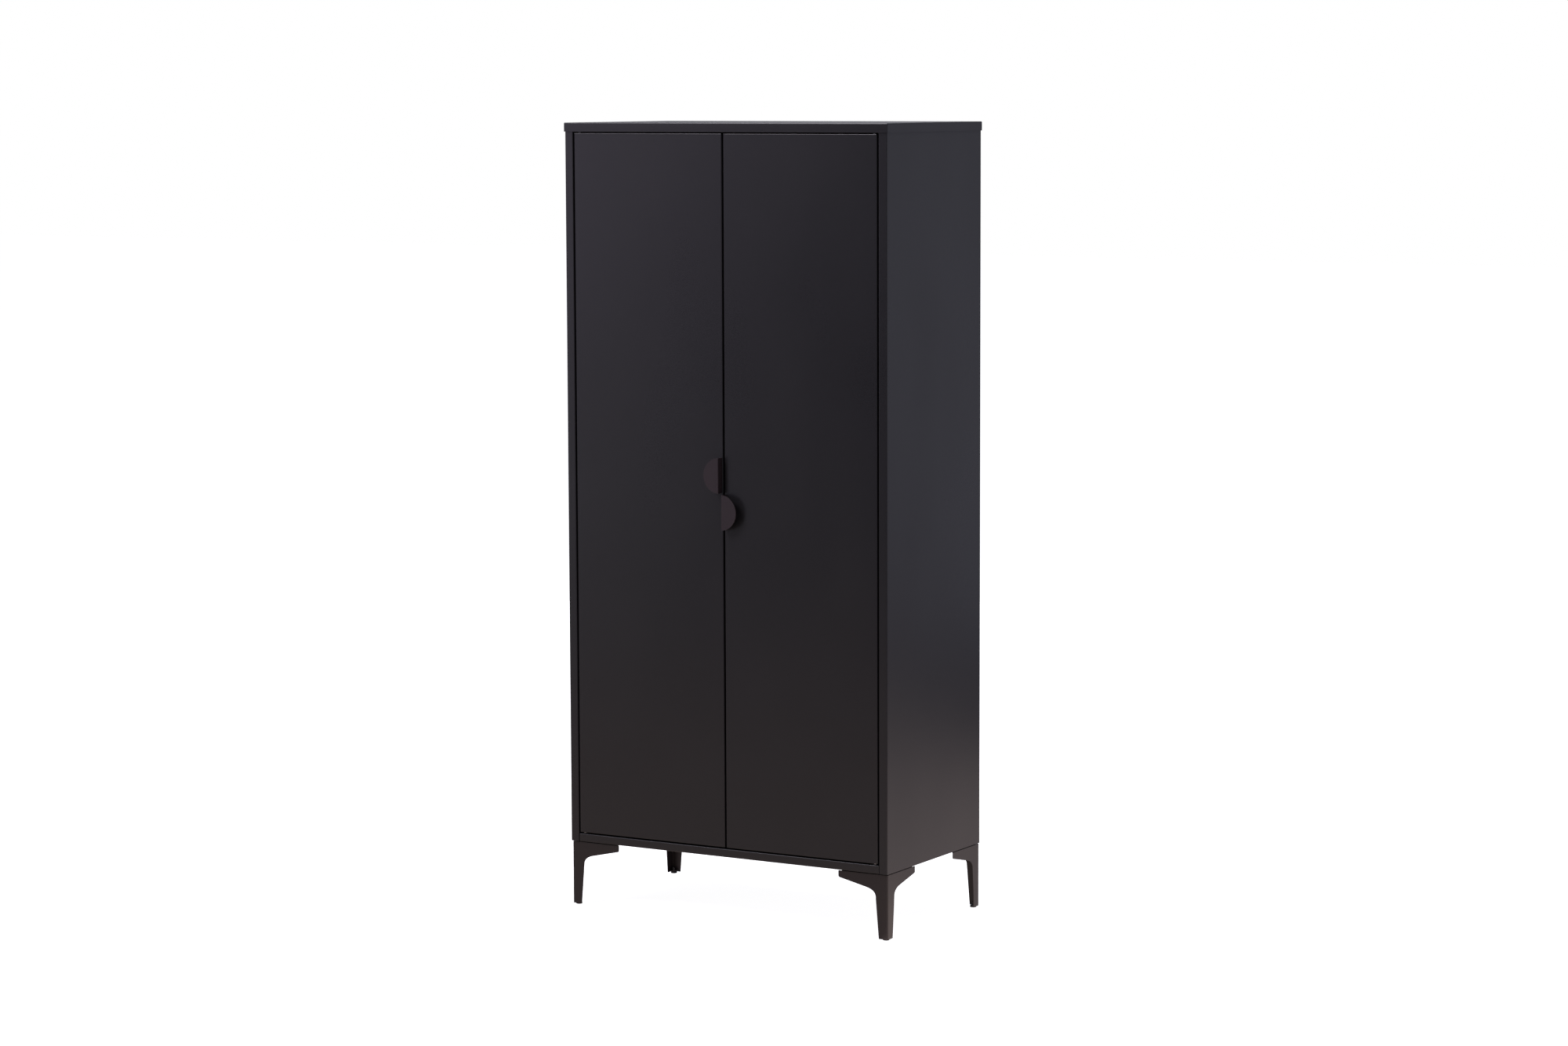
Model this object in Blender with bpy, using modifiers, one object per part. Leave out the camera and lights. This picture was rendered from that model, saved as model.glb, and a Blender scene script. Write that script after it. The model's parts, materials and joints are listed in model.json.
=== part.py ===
"""A two-door wardrobe in folded sheet steel, standing on four bent-plate legs.

Metres, +Z up. The doors face -Y. The origin is the centre of the footprint's bounding box, on the
floor. The cabinet is two side panels, a lid, a floor tray and a back panel. Each door is a folded
leaf that turns on a pin at its top and one at its bottom, next to its outer edge.
"""

from math import radians

import bmesh
import bpy
from mathutils import Matrix, Vector

# ---- driving dimensions ----
WIDTH = 0.800  # over the lid
HEIGHT = 1.7175  # floor to the top of the lid
BODY_DEPTH = 0.4185  # front face of the doors to the back of the side panels
LID_LAP = 0.002  # the lid's front and side lips stand this far outside the panels
LID_BACK_LAP = 0.0015
LID_LIP = 0.0195
UNDERSIDE = 0.1425  # floor to the underside of the cabinet
SHEET = 0.001
FOLD_RADIUS = 0.0018
FIT = 0.0003  # between pieces that touch
SEAM = 0.0005  # between the lid and the top of the pieces under it
CORNER_FIT = 0.0006  # beside a panel that another folded piece stands in
RETURN_FIT = 0.0008  # beside the side panels' front returns
DRILL_DEPTH = 0.004  # of a cutter that goes through one sheet
PLANAR = 1e-6

HANDLE_PROUD = 0.018
FRONT = -(HANDLE_PROUD + BODY_DEPTH + LID_BACK_LAP) / 2 + HANDLE_PROUD
BACK = FRONT + BODY_DEPTH
SIDE = WIDTH / 2 - LID_LAP  # outer face of a side panel
LID_UNDER = HEIGHT - SHEET
HEADER_BASE = HEIGHT - LID_LIP
WALL = SIDE - SHEET - FIT  # what is fixed to the inside of a side panel starts here

FLANGE = 0.020  # front return of a side panel
FLANGE_DEPTH = 0.014
REAR_FLANGE = 0.022
TOP_FLANGE = 0.016
TOP_FLANGE_ENDS = (0.017, 0.004)  # the top flange stops this far from the front and the back

HEADER_DEPTH = 0.050
HEADER_SHELF = 0.042  # the channel's lower leg, which holds the bushes
HEADER_HEM = 0.012

FLOOR_TOP = 0.1605
TRAY_RETURN = 0.030
NOTCH = 0.0152  # the floor tray steps in by this depth, behind the front returns
TRAY_BACK_FIT = 0.0016
TRAY_SHIFT = 0.0003  # the tray sits closer to the right side panel

BACK_PANEL_FIT = 0.001
BACK_RIB = 0.0012
BACK_RIB_WIDTH = 0.040
BACK_RIB_SLOPE = 0.004
BACK_RIB_X = (-0.200, 0.0, 0.200)

DOOR_INNER = 0.002  # half the gap between the doors
DOOR_OUTER = 0.3745
DOOR_BOTTOM = 0.1635
DOOR_TOP = 1.6955
DOOR_DEPTH = 0.020
DOOR_RETURN = 0.014

STIFFENER_HALF = 0.020
STIFFENER_DEPTH = 0.015
STIFFENER_FLANGE = 0.014
STIFFENER_END = 0.060  # from either end of the door

PIVOT_X = 0.3655
PIVOT_Y = FRONT + 0.008
PIN_RADIUS = 0.00285
PIN_HEAD = 0.005
PIN_HEAD_HEIGHT = 0.003
PIN_REACH = 0.0105
PIN_TIP = 0.0006
PIN_SHOULDER = 0.004  # radius of the collar that carries the door on its lower bush
BUSH_BORE = 0.003
BUSH_RADIUS = 0.005
BUSH_FLANGE = 0.0065
BUSH_DEPTH = 0.006
BUSH_FLANGE_HEIGHT = 0.001

HANDLE_RADIUS = 0.038
HANDLE_PLATE = 0.002
HANDLE_BEND = 0.0024
HANDLE_EDGE = 0.0035  # flat edge, from the wardrobe's middle
HANDLE_CENTRE = 0.002
HANDLE_FLANGE = 0.016
HANDLE_HEIGHTS = {"left": HEIGHT - 0.748, "right": HEIGHT - 0.827}
HANDLE_FLANGE_END = 0.025  # half the flange's height at its free edge
HANDLE_SCREW_RISE = 0.022
HANDLE_SCREW_IN = 0.0075

STRIKE_X = (0.030, 0.070)
STRIKE_SHEET = 0.0015
STRIKE_HEIGHT = (0.002, 0.013)  # below the top of the door
CATCH_X = (0.027, 0.073)
CATCH_DEPTH = 0.015
CATCH_HEIGHT = 0.0165
BUFFER_X = 0.040
BUFFER_RISE = 0.007
BUFFER_RADIUS = 0.004
BUFFER_HEIGHT = 0.0024
BUFFER_EDGE = 0.0008
STOP_HALF = 0.060
STOP_HEIGHT = 0.020

LEG_INSET_SIDE = 0.001
LEG_INSET_FRONT = 0.004
LEG_INSET_BACK = 0.0015
LEG_SHEET = 0.002
LEG_BEND = 0.0025
LEG_TOP = UNDERSIDE - 0.0018
LEG_BASE = 0.0025
LEG_WING = 0.120
LEG_TIP = 0.014
LEG_SWEEP = (0.053, 0.029)  # where the sloping lower edge meets the curve: along, down
LEG_CORNER = (0.0312, 0.034)
LEG_NECK = (0.0295, 0.047)
LEG_ANKLE = 0.022
LEG_TIP_RADIUS = 0.0035  # at the wing's lower corner
LEG_TIP_CORNER = 0.0012  # at its upper corner
LEG_PLATE = 0.003
LEG_PLATE_TOP = UNDERSIDE - 0.0004
LEG_PLATE_WIDTH = 0.026
LEG_PLATE_LENGTH = LEG_WING - 0.006
LEG_SCREWS = ((0.075, 0.014), (0.014, 0.075))  # from the leg's outer corner
FOOT_PLATE = (0.0042, 0.0062)  # the gusset that holds the glide: low, high
FOOT_PLATE_LONG = 0.0185
FOOT_PLATE_SHORT = 0.005

GLIDE_CENTRE = 0.0093  # from both outer faces of the leg
GLIDE_RADIUS = 0.007
GLIDE_HEIGHT = 0.0038
GLIDE_EDGE = 0.0012
GLIDE_STEM = 0.003
GLIDE_TOP = 0.0125

SHELF_TOP = 1.4425
SHELF_LIP = 0.022
SHELF_RETURN = 0.012
SHELF_HALF = 0.3935
SHELF_FRONT = FRONT + 0.030
SHELF_BACK = BACK - 0.006
SUPPORT_LENGTH = 0.300
SUPPORT_LEG = 0.020

RAIL_Z = 1.3725
RAIL_Y = 0.010
RAIL_RADIUS = 0.0125
RAIL_WALL = 0.0012
SOCKET_BASE = 0.003
SOCKET_BORE = RAIL_RADIUS + 0.0004
SOCKET_RIM = 0.0022
SOCKET_DEPTH = 0.014
SOCKET_FLANGE = 0.022

BACK_SCREW_HEIGHTS = {"low": 0.190, "middle": 0.930, "high": 1.660}
BACK_SCREW_X = SIDE - 0.013

# head radius, head height, shank radius, shank length
LEG_SCREW = (0.0055, 0.0032, 0.0027, 0.014)
HANDLE_SCREW = (0.0036, 0.0022, 0.0019, 0.003)
BACK_SCREW = (0.004, 0.0012, 0.002, 0.007)
HANDLE_SCREW_HOLE = 0.0022
BACK_SCREW_HOLE = 0.0023
LEG_SCREW_HOLE = 0.003

PAINT = (0.036, 0.034, 0.036)
LEG_PAINT = (0.042, 0.036, 0.036)
ZINC = (0.62, 0.62, 0.60)
BLACK_PLASTIC = (0.012, 0.012, 0.012)
FINISHES = {
    "paint": (PAINT, 0.45, 0.0),
    "leg_paint": (LEG_PAINT, 0.45, 0.0),
    "zinc": (ZINC, 0.30, 1.0),
    "black_plastic": (BLACK_PLASTIC, 0.55, 0.0),
}

# ---- helpers ----
AXES = {
    "+X": ((0, 1, 0), (0, 0, 1), (1, 0, 0)),
    "-Y": ((1, 0, 0), (0, 0, 1), (0, -1, 0)),
    "+Y": ((-1, 0, 0), (0, 0, 1), (0, 1, 0)),
    "+Z": ((1, 0, 0), (0, 1, 0), (0, 0, 1)),
}
groups = {}


def new_collection(name):
    collection = bpy.data.collections.new(name)
    bpy.context.scene.collection.children.link(collection)
    return collection


def clear_scene():
    for thing in list(bpy.data.objects):
        bpy.data.objects.remove(thing, do_unlink=True)
    groups["parts"] = new_collection("wardrobe")
    groups["cutters"] = new_collection("cutters")


def finish_material(name, finish):
    colour, roughness, metallic = FINISHES[finish]
    material = bpy.data.materials.new(name + "_" + finish)
    material.use_nodes = True
    shader = material.node_tree.nodes["Principled BSDF"]
    shader.inputs["Base Color"].default_value = (*colour, 1)
    shader.inputs["Roughness"].default_value = roughness
    shader.inputs["Metallic"].default_value = metallic
    material.diffuse_color = (*colour, 1)
    return material


def add_part(name, mesh_source, finish, location=(0, 0, 0), rotation=(0, 0, 0), parent=None):
    """An object of the wardrobe, from a bmesh, with its own material."""
    mesh = bpy.data.meshes.new(name)
    mesh_source.to_mesh(mesh)
    mesh_source.free()
    mesh.materials.append(finish_material(name, finish))
    part = bpy.data.objects.new(name, mesh)
    part.location = location
    part.rotation_euler = rotation
    if parent is not None:
        part.parent = parent
        part.location = Vector(location) - parent.location
    groups["parts"].objects.link(part)
    return part


def add_pivot(name, location):
    """An empty on a door's hinge axis, which the door's pieces are parented to."""
    pivot = bpy.data.objects.new(name, None)
    pivot.location = location
    groups["parts"].objects.link(pivot)
    return pivot


def oriented(out, centre):
    """The matrix that lays local X and Y in the plane facing out, at centre."""
    turn = Matrix(AXES[out]).transposed().to_4x4()
    return Matrix.Translation(centre) @ turn


def blank(out, low, high):
    """A flat rectangle facing out, between two opposite corners."""
    low, high = Vector(low), Vector(high)
    frame = oriented(out, (low + high) / 2)
    size = frame.to_3x3().transposed() @ (high - low)
    sheet = bmesh.new()
    bmesh.ops.create_grid(sheet, x_segments=1, y_segments=1, size=0.5)
    bmesh.ops.scale(sheet, verts=sheet.verts, vec=(abs(size.x), abs(size.y), 1))
    bmesh.ops.transform(sheet, verts=sheet.verts, matrix=frame)
    return sheet


def split(sheet, axis, position):
    """A cut line across the blank, which divides its edges for a notch."""
    point, normal = Vector(), Vector()
    point[axis] = position
    normal[axis] = 1
    everything = list(sheet.verts) + list(sheet.edges) + list(sheet.faces)
    bmesh.ops.bisect_plane(sheet, geom=everything, plane_co=point, plane_no=normal)


def edges_at(sheet, axis, position, along=None, span=None):
    """The open edges that lie at one coordinate, and within a span of another."""
    found = []
    for edge in sheet.edges:
        ends = [v.co for v in edge.verts]
        level = all(abs(end[axis] - position) < PLANAR for end in ends)
        inside = span is None or all(span[0] - PLANAR < end[along] < span[1] + PLANAR for end in ends)
        if edge.is_boundary and level and inside:
            found.append(edge)
    return found


def fold(sheet, edges, move):
    """Extends the sheet from these edges. Returns the new free edges."""
    made = bmesh.ops.extrude_edge_only(sheet, edges=edges)["geom"]
    corners = [item for item in made if isinstance(item, bmesh.types.BMVert)]
    bmesh.ops.translate(sheet, verts=corners, vec=move)
    free = set(corners)
    return [edge for edge in sheet.edges if edge.verts[0] in free and edge.verts[1] in free]


def fold_rim(sheet, depth, inset, in_plane):
    """Folds every edge of the blank by depth, then a mitred return inwards by inset."""
    middle = sum((v.co for v in sheet.verts), Vector()) / len(sheet.verts)
    rim = [edge for edge in sheet.edges if edge.is_boundary]
    rim = fold(sheet, rim, depth)
    if inset:
        rim = fold(sheet, rim, (0, 0, 0))
        for corner in {v for edge in rim for v in edge.verts}:
            for axis in in_plane:
                corner.co[axis] -= inset if corner.co[axis] > middle[axis] else -inset


def mirrored(source):
    """The same shape across the middle of the wardrobe."""
    twin = source.copy()
    bmesh.ops.scale(twin, verts=twin.verts, vec=(-1, 1, 1))
    bmesh.ops.reverse_faces(twin, faces=twin.faces)
    return twin


def make_sheet_metal(part, thickness=SHEET, radius=FOLD_RADIUS, segments=3):
    """Rounds the folds and gives the open surface its thickness, inwards."""
    if radius:
        bend = part.modifiers.new("folds", "BEVEL")
        bend.width = radius
        bend.segments = segments
        bend.limit_method = "ANGLE"
        bend.angle_limit = radians(30)
    shell = part.modifiers.new("thickness", "SOLIDIFY")
    shell.thickness = thickness
    shell.offset = -1
    shell.use_even_offset = True


def cut(part, cutter, operation="DIFFERENCE"):
    tool = part.modifiers.new(operation.lower(), "BOOLEAN")
    tool.operation = operation
    tool.solver = "EXACT"
    tool.object = cutter


def add_cutter(name, source):
    mesh = bpy.data.meshes.new(name)
    source.to_mesh(mesh)
    source.free()
    cutter = bpy.data.objects.new(name, mesh)
    cutter.hide_render = True
    cutter.display_type = "WIRE"
    groups["cutters"].objects.link(cutter)
    return cutter


def add_drill(name, points, radius, length=DRILL_DEPTH, axis="Z", segments=24):
    """A cutter made of one rod at each point, centred there."""
    turn = Matrix.Rotation(radians(90), 4, "X") if axis == "Y" else Matrix()
    rods = bmesh.new()
    for point in points:
        bmesh.ops.create_cone(
            rods,
            cap_ends=True,
            segments=segments,
            radius1=radius,
            radius2=radius,
            depth=length,
            matrix=Matrix.Translation(point) @ turn,
        )
    return add_cutter(name, rods)


def turned(name, profile, finish, location, rotation=(0, 0, 0), parent=None, steps=16, closed=False):
    """A turned piece. The profile is (radius, height) points down its outer side."""
    line = bmesh.new()
    points = [line.verts.new((radius, 0, height)) for radius, height in profile]
    for first, second in zip(points, points[1:]):
        line.edges.new((first, second))
    if closed:
        line.edges.new((points[-1], points[0]))
    part = add_part(name, line, finish, location, rotation, parent)
    lathe = part.modifiers.new("lathe", "SCREW")
    lathe.steps = steps
    lathe.render_steps = steps
    lathe.use_merge_vertices = True
    lathe.merge_threshold = 0.00005
    return part


def box(low, high):
    low, high = Vector(low), Vector(high)
    block = bmesh.new()
    bmesh.ops.create_cube(block, size=1)
    bmesh.ops.scale(block, verts=block.verts, vec=high - low)
    bmesh.ops.translate(block, verts=block.verts, vec=(low + high) / 2)
    return block


def soften(part, width, segments=2):
    edge = part.modifiers.new("edges", "BEVEL")
    edge.width = width
    edge.segments = segments
    edge.limit_method = "ANGLE"
    edge.angle_limit = radians(40)


def flat_outline(points):
    """A flat shape in the XY plane, as a bmesh of one face."""
    flat = bmesh.new()
    flat.faces.new([flat.verts.new((x, y, 0)) for x, y in points])
    flat.normal_update()
    return flat


def both_sides(name, source, finish, **placing):
    """A piece and its mirror twin, named right and left."""
    twin = mirrored(source)
    pair = {"right": add_part(name + "_right", source, finish, **placing)}
    pair["left"] = add_part(name + "_left", twin, finish, **placing)
    return pair


# ---- cabinet ----
def build_side_panels():
    top = LID_UNDER - SEAM
    flange_ends = (FRONT + TOP_FLANGE_ENDS[0], BACK - TOP_FLANGE_ENDS[1])
    panel = blank("+X", (SIDE, FRONT, UNDERSIDE), (SIDE, BACK, top))
    for end in flange_ends:
        split(panel, 1, end)
    front = edges_at(panel, 1, FRONT)
    front = fold(panel, front, (-FLANGE, 0, 0))
    fold(panel, front, (0, FLANGE_DEPTH, 0))
    fold(panel, edges_at(panel, 1, BACK), (-REAR_FLANGE, 0, 0))
    fold(panel, edges_at(panel, 2, top, 1, flange_ends), (-TOP_FLANGE, 0, 0))
    for part in both_sides("side_panel", panel, "paint").values():
        make_sheet_metal(part)


def build_lid():
    half = WIDTH / 2
    lid = blank("+Z", (-half, FRONT - LID_LAP, HEIGHT), (half, BACK + LID_BACK_LAP, HEIGHT))
    fold_rim(lid, (0, 0, -LID_LIP), 0, ())
    make_sheet_metal(add_part("lid", lid, "paint"))


def build_header(pin_holes):
    """The channel behind the lid's front lip, which holds the top bushes."""
    half = SIDE - FLANGE - RETURN_FIT
    top = LID_UNDER - SEAM
    rail = blank("-Y", (-half, FRONT, HEADER_BASE), (half, FRONT, top))
    fold(rail, edges_at(rail, 2, top), (0, HEADER_DEPTH, 0))
    lower = fold(rail, edges_at(rail, 2, HEADER_BASE), (0, HEADER_SHELF, 0))
    fold(rail, lower, (0, 0, HEADER_HEM))
    part = add_part("header_rail", rail, "paint")
    make_sheet_metal(part)
    cut(part, pin_holes)


def build_floor_tray(pin_holes, leg_holes):
    """The floor, with lips down all round and a return that the legs bolt to."""
    half = SIDE - SHEET - CORNER_FIT
    step = SIDE - FLANGE - RETURN_FIT
    rear = BACK - SHEET - TRAY_BACK_FIT
    notch = FRONT + NOTCH
    tray = blank("+Z", (-half, FRONT, FLOOR_TOP), (half, rear, FLOOR_TOP))
    split(tray, 1, notch)
    split(tray, 0, -step)
    split(tray, 0, step)
    corners = [
        face
        for face in tray.faces
        if face.calc_center_median().y < notch and abs(face.calc_center_median().x) > step
    ]
    bmesh.ops.delete(tray, geom=corners, context="FACES")
    fold_rim(tray, (0, 0, UNDERSIDE - FLOOR_TOP), TRAY_RETURN, (0, 1))
    bmesh.ops.translate(tray, verts=tray.verts, vec=(TRAY_SHIFT, 0, 0))
    part = add_part("floor_tray", tray, "paint")
    make_sheet_metal(part)
    cut(part, pin_holes)
    cut(part, leg_holes)


def build_back_panel():
    """A flat sheet with three pressed ribs, inside the rear flanges."""
    half = SIDE - SHEET - CORNER_FIT
    face = BACK - SHEET - FIT
    low, high = UNDERSIDE + BACK_PANEL_FIT, LID_UNDER - BACK_PANEL_FIT
    crown = BACK_RIB_WIDTH / 2 - BACK_RIB_SLOPE
    panel = blank("+Y", (-half, face, low), (half, face, high))
    for centre in BACK_RIB_X:
        for side in (-1, 1):
            split(panel, 0, centre + side * BACK_RIB_WIDTH / 2)
            split(panel, 0, centre + side * crown)
    for corner in panel.verts:
        if any(abs(corner.co.x - centre) < crown + PLANAR for centre in BACK_RIB_X):
            corner.co.y += BACK_RIB
    part = add_part("back_panel", panel, "paint")
    make_sheet_metal(part, radius=0)
    screws = [(side * BACK_SCREW_X, face, z) for side in (-1, 1) for z in BACK_SCREW_HEIGHTS.values()]
    holes = add_drill("back_screw_holes", screws, BACK_SCREW_HOLE, 5 * DRILL_DEPTH, "Y")
    cut(part, holes)
    for side in ("left", "right"):
        cut(bpy.data.objects["side_panel_" + side], holes)


def build_shelf():
    shelf = blank("+Z", (-SHELF_HALF, SHELF_FRONT, SHELF_TOP), (SHELF_HALF, SHELF_BACK, SHELF_TOP))
    fold_rim(shelf, (0, 0, -SHELF_LIP), SHELF_RETURN, (0, 1))
    make_sheet_metal(add_part("hat_shelf", shelf, "paint"))
    level = SHELF_TOP - SHELF_LIP - FIT
    ends = (RAIL_Y - SUPPORT_LENGTH / 2, RAIL_Y + SUPPORT_LENGTH / 2)
    angle = blank("+X", (WALL, ends[0], level - SUPPORT_LEG), (WALL, ends[1], level))
    fold(angle, edges_at(angle, 2, level), (-SUPPORT_LEG, 0, 0))
    for part in both_sides("shelf_support", angle, "paint").values():
        make_sheet_metal(part)


def build_rail():
    half = WALL - SOCKET_BASE - FIT
    tube = bmesh.new()
    bmesh.ops.create_cone(
        tube,
        cap_ends=False,
        segments=24,
        radius1=RAIL_RADIUS,
        radius2=RAIL_RADIUS,
        depth=2 * half,
    )
    rail = add_part("hanging_rail", tube, "zinc", (0, RAIL_Y, RAIL_Z), (0, radians(90), 0))
    make_sheet_metal(rail, RAIL_WALL, 0)
    outer = SOCKET_BORE + SOCKET_RIM
    cup = [
        (0, SOCKET_BASE),
        (SOCKET_BORE, SOCKET_BASE),
        (SOCKET_BORE, SOCKET_DEPTH),
        (outer, SOCKET_DEPTH),
        (outer, 0.75 * SOCKET_BASE),
        (SOCKET_FLANGE, 0.6 * SOCKET_BASE),
        (SOCKET_FLANGE, 0),
        (0, 0),
    ]
    for name, side, turn in (("left", -1, 90), ("right", 1, -90)):
        place = (side * WALL, RAIL_Y, RAIL_Z)
        turned("rail_socket_" + name, cup, "zinc", place, (0, radians(turn), 0), steps=24)


# ---- legs ----
def blend(start, corner, end, steps):
    """Points along a smooth curve that leaves start and reaches end, both towards corner."""
    for i in range(1, steps):
        t = i / steps
        yield tuple((1 - t) ** 2 * a + 2 * t * (1 - t) * b + t**2 * c for a, b, c in zip(start, corner, end))


def wing_outline():
    """One wing of a leg, as (distance from the leg's corner, height)."""
    tip, low = LEG_WING, LEG_TOP - LEG_TIP
    r = LEG_TIP_RADIUS
    slope = (LEG_SWEEP[1] - LEG_TIP) / (LEG_WING - LEG_SWEEP[0])
    top = LEG_TOP
    points = [(0, LEG_BASE), (0, top), (tip - LEG_TIP_CORNER, top)]
    points += [(tip, top - LEG_TIP_CORNER), (tip, low + r)]
    points += blend((tip, low + r), (tip, low), (tip - r, low - slope * r), 4)
    points.append((tip - r, low - slope * r))
    sweep, corner, neck = ((s, top - drop) for s, drop in (LEG_SWEEP, LEG_CORNER, LEG_NECK))
    points.append(sweep)
    points += blend(sweep, corner, neck, 8)
    points += [neck, (LEG_ANKLE, LEG_BASE)]
    return points


def leg_blank():
    """Both wings at right angles, with the corner at the origin and the wings along +X and +Y."""
    leg = flat_outline(wing_outline())
    bmesh.ops.transform(leg, verts=leg.verts, matrix=Matrix.Rotation(radians(90), 4, "X"))
    leg.normal_update()
    for face in leg.faces:
        if face.normal.y > 0:
            face.normal_flip()
    twin = leg.copy()
    swap = Matrix(((0, 1, 0, 0), (1, 0, 0, 0), (0, 0, 1, 0), (0, 0, 0, 1)))
    bmesh.ops.transform(twin, verts=twin.verts, matrix=swap)
    bmesh.ops.reverse_faces(twin, faces=twin.faces)
    scratch = bpy.data.meshes.new("wing")
    twin.to_mesh(scratch)
    twin.free()
    leg.from_mesh(scratch)
    bmesh.ops.remove_doubles(leg, verts=leg.verts, dist=PLANAR)
    return leg


def flat_plate(outline, low, high):
    plate = flat_outline(outline)
    for corner in plate.verts:
        corner.co.z = high
    lower = bmesh.ops.extrude_face_region(plate, geom=plate.faces[:])["geom"]
    moved = [item for item in lower if isinstance(item, bmesh.types.BMVert)]
    bmesh.ops.translate(plate, verts=moved, vec=(0, 0, low - high))
    bmesh.ops.recalc_face_normals(plate, faces=plate.faces)
    return plate


def leg_plates(sides):
    """The plates inside the wings, at the leg's top and at its foot, to be joined to them."""
    plates = flat_plate(top_plate_outline(), LEG_PLATE_TOP - LEG_PLATE, LEG_PLATE_TOP)
    foot_plate = flat_plate(foot_plate_outline(), *FOOT_PLATE)
    scratch = bpy.data.meshes.new("foot_plate")
    foot_plate.to_mesh(scratch)
    foot_plate.free()
    plates.from_mesh(scratch)
    return placed_corner(plates, sides)


def top_plate_outline():
    inner, far, width = LEG_SHEET / 2, LEG_PLATE_LENGTH, LEG_PLATE_WIDTH
    return [(inner, inner), (far, inner), (far, width), (width, width), (width, far), (inner, far)]


def foot_plate_outline():
    inner, long, short = LEG_SHEET / 2, FOOT_PLATE_LONG, FOOT_PLATE_SHORT
    return [(inner, inner), (long, inner), (long, short), (short, long), (inner, long)]


def corner_matrix(sides):
    """Takes a leg built at the origin to a corner of the wardrobe."""
    x, y = sides
    depth = FRONT + LEG_INSET_FRONT if y < 0 else BACK - LEG_INSET_BACK
    spot = Vector((x * (SIDE - LEG_INSET_SIDE), depth, 0))
    return Matrix.Translation(spot) @ Matrix.Diagonal((-x, -y, 1, 1))


def placed_corner(source, sides):
    """Takes the mesh to its corner, and turns its faces right side out where that mirrors it."""
    bmesh.ops.transform(source, verts=source.verts, matrix=corner_matrix(sides))
    if sides[0] * sides[1] < 0:
        bmesh.ops.reverse_faces(source, faces=source.faces)
    return source


def build_glide(name, sides):
    """A round plastic foot on a stem, pushed into the leg's lower gusset."""
    profile = [
        (0, GLIDE_TOP),
        (GLIDE_STEM - GLIDE_EDGE / 2, GLIDE_TOP),
        (GLIDE_STEM, GLIDE_TOP - GLIDE_EDGE / 2),
        (GLIDE_STEM, GLIDE_HEIGHT),
        (GLIDE_RADIUS, GLIDE_HEIGHT),
        (GLIDE_RADIUS, GLIDE_EDGE),
        (GLIDE_RADIUS - GLIDE_EDGE, 0),
        (0, 0),
    ]
    place = corner_matrix(sides) @ Vector((GLIDE_CENTRE, GLIDE_CENTRE, 0))
    turned("foot_glide_" + name, profile, "black_plastic", place, steps=24)


def build_legs(leg_holes):
    corners = {
        "front_right": (1, -1),
        "front_left": (-1, -1),
        "back_right": (1, 1),
        "back_left": (-1, 1),
    }
    stem = Vector((GLIDE_CENTRE, GLIDE_CENTRE, FOOT_PLATE[0]))
    stems = [corner_matrix(sides) @ stem for sides in corners.values()]
    stem_holes = add_drill("stem_holes", stems, GLIDE_STEM + FIT, 2 * DRILL_DEPTH)
    for name, sides in corners.items():
        leg = add_part("leg_" + name, placed_corner(leg_blank(), sides), "leg_paint")
        make_sheet_metal(leg, LEG_SHEET, LEG_BEND)
        cut(leg, add_cutter("leg_plates_" + name, leg_plates(sides)), "UNION")
        cut(leg, leg_holes)
        cut(leg, stem_holes)
        build_glide(name, sides)
        for letter, spot in zip("ab", LEG_SCREWS):
            point = corner_matrix(sides) @ Vector((*spot, LEG_PLATE_TOP - LEG_PLATE - FIT))
            screw("leg_screw_" + name + "_" + letter, point, (radians(180), 0, 0), LEG_SCREW)


def screw(name, point, rotation, sizes, parent=None):
    """A pan-head screw whose head stands on point, with its shank going down its own -Z."""
    head, head_height, shank, length = sizes
    point_edge = 0.3 * shank
    profile = [
        (0, head_height),
        (0.55 * head, head_height),
        (head, 0.45 * head_height),
        (head, 0),
        (shank, 0),
        (shank, -length + point_edge),
        (shank - point_edge, -length),
        (0, -length),
    ]
    turned(name, profile, "zinc", point, rotation, parent, steps=12)


def leg_screw_points():
    points = []
    for x in (-1, 1):
        for y in (-1, 1):
            for spot in LEG_SCREWS:
                points.append(corner_matrix((x, y)) @ Vector((*spot, UNDERSIDE)))
    return points


# ---- doors ----
def build_bushes():
    profile = [
        (BUSH_BORE, BUSH_DEPTH),
        (BUSH_RADIUS, BUSH_DEPTH),
        (BUSH_RADIUS, BUSH_FLANGE_HEIGHT),
        (BUSH_FLANGE, BUSH_FLANGE_HEIGHT),
        (BUSH_FLANGE, 0),
        (BUSH_BORE, 0),
    ]
    for name, side in (("left", -1), ("right", 1)):
        for end, base, turn in (
            ("top", HEADER_BASE - FIT - BUSH_FLANGE_HEIGHT, 0),
            ("bottom", FLOOR_TOP + FIT + BUSH_FLANGE_HEIGHT, 180),
        ):
            place = (side * PIVOT_X, PIVOT_Y, base)
            turned(
                "pivot_bush_" + end + "_" + name,
                profile,
                "black_plastic",
                place,
                (radians(turn), 0, 0),
                steps=24,
                closed=True,
            )


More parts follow.
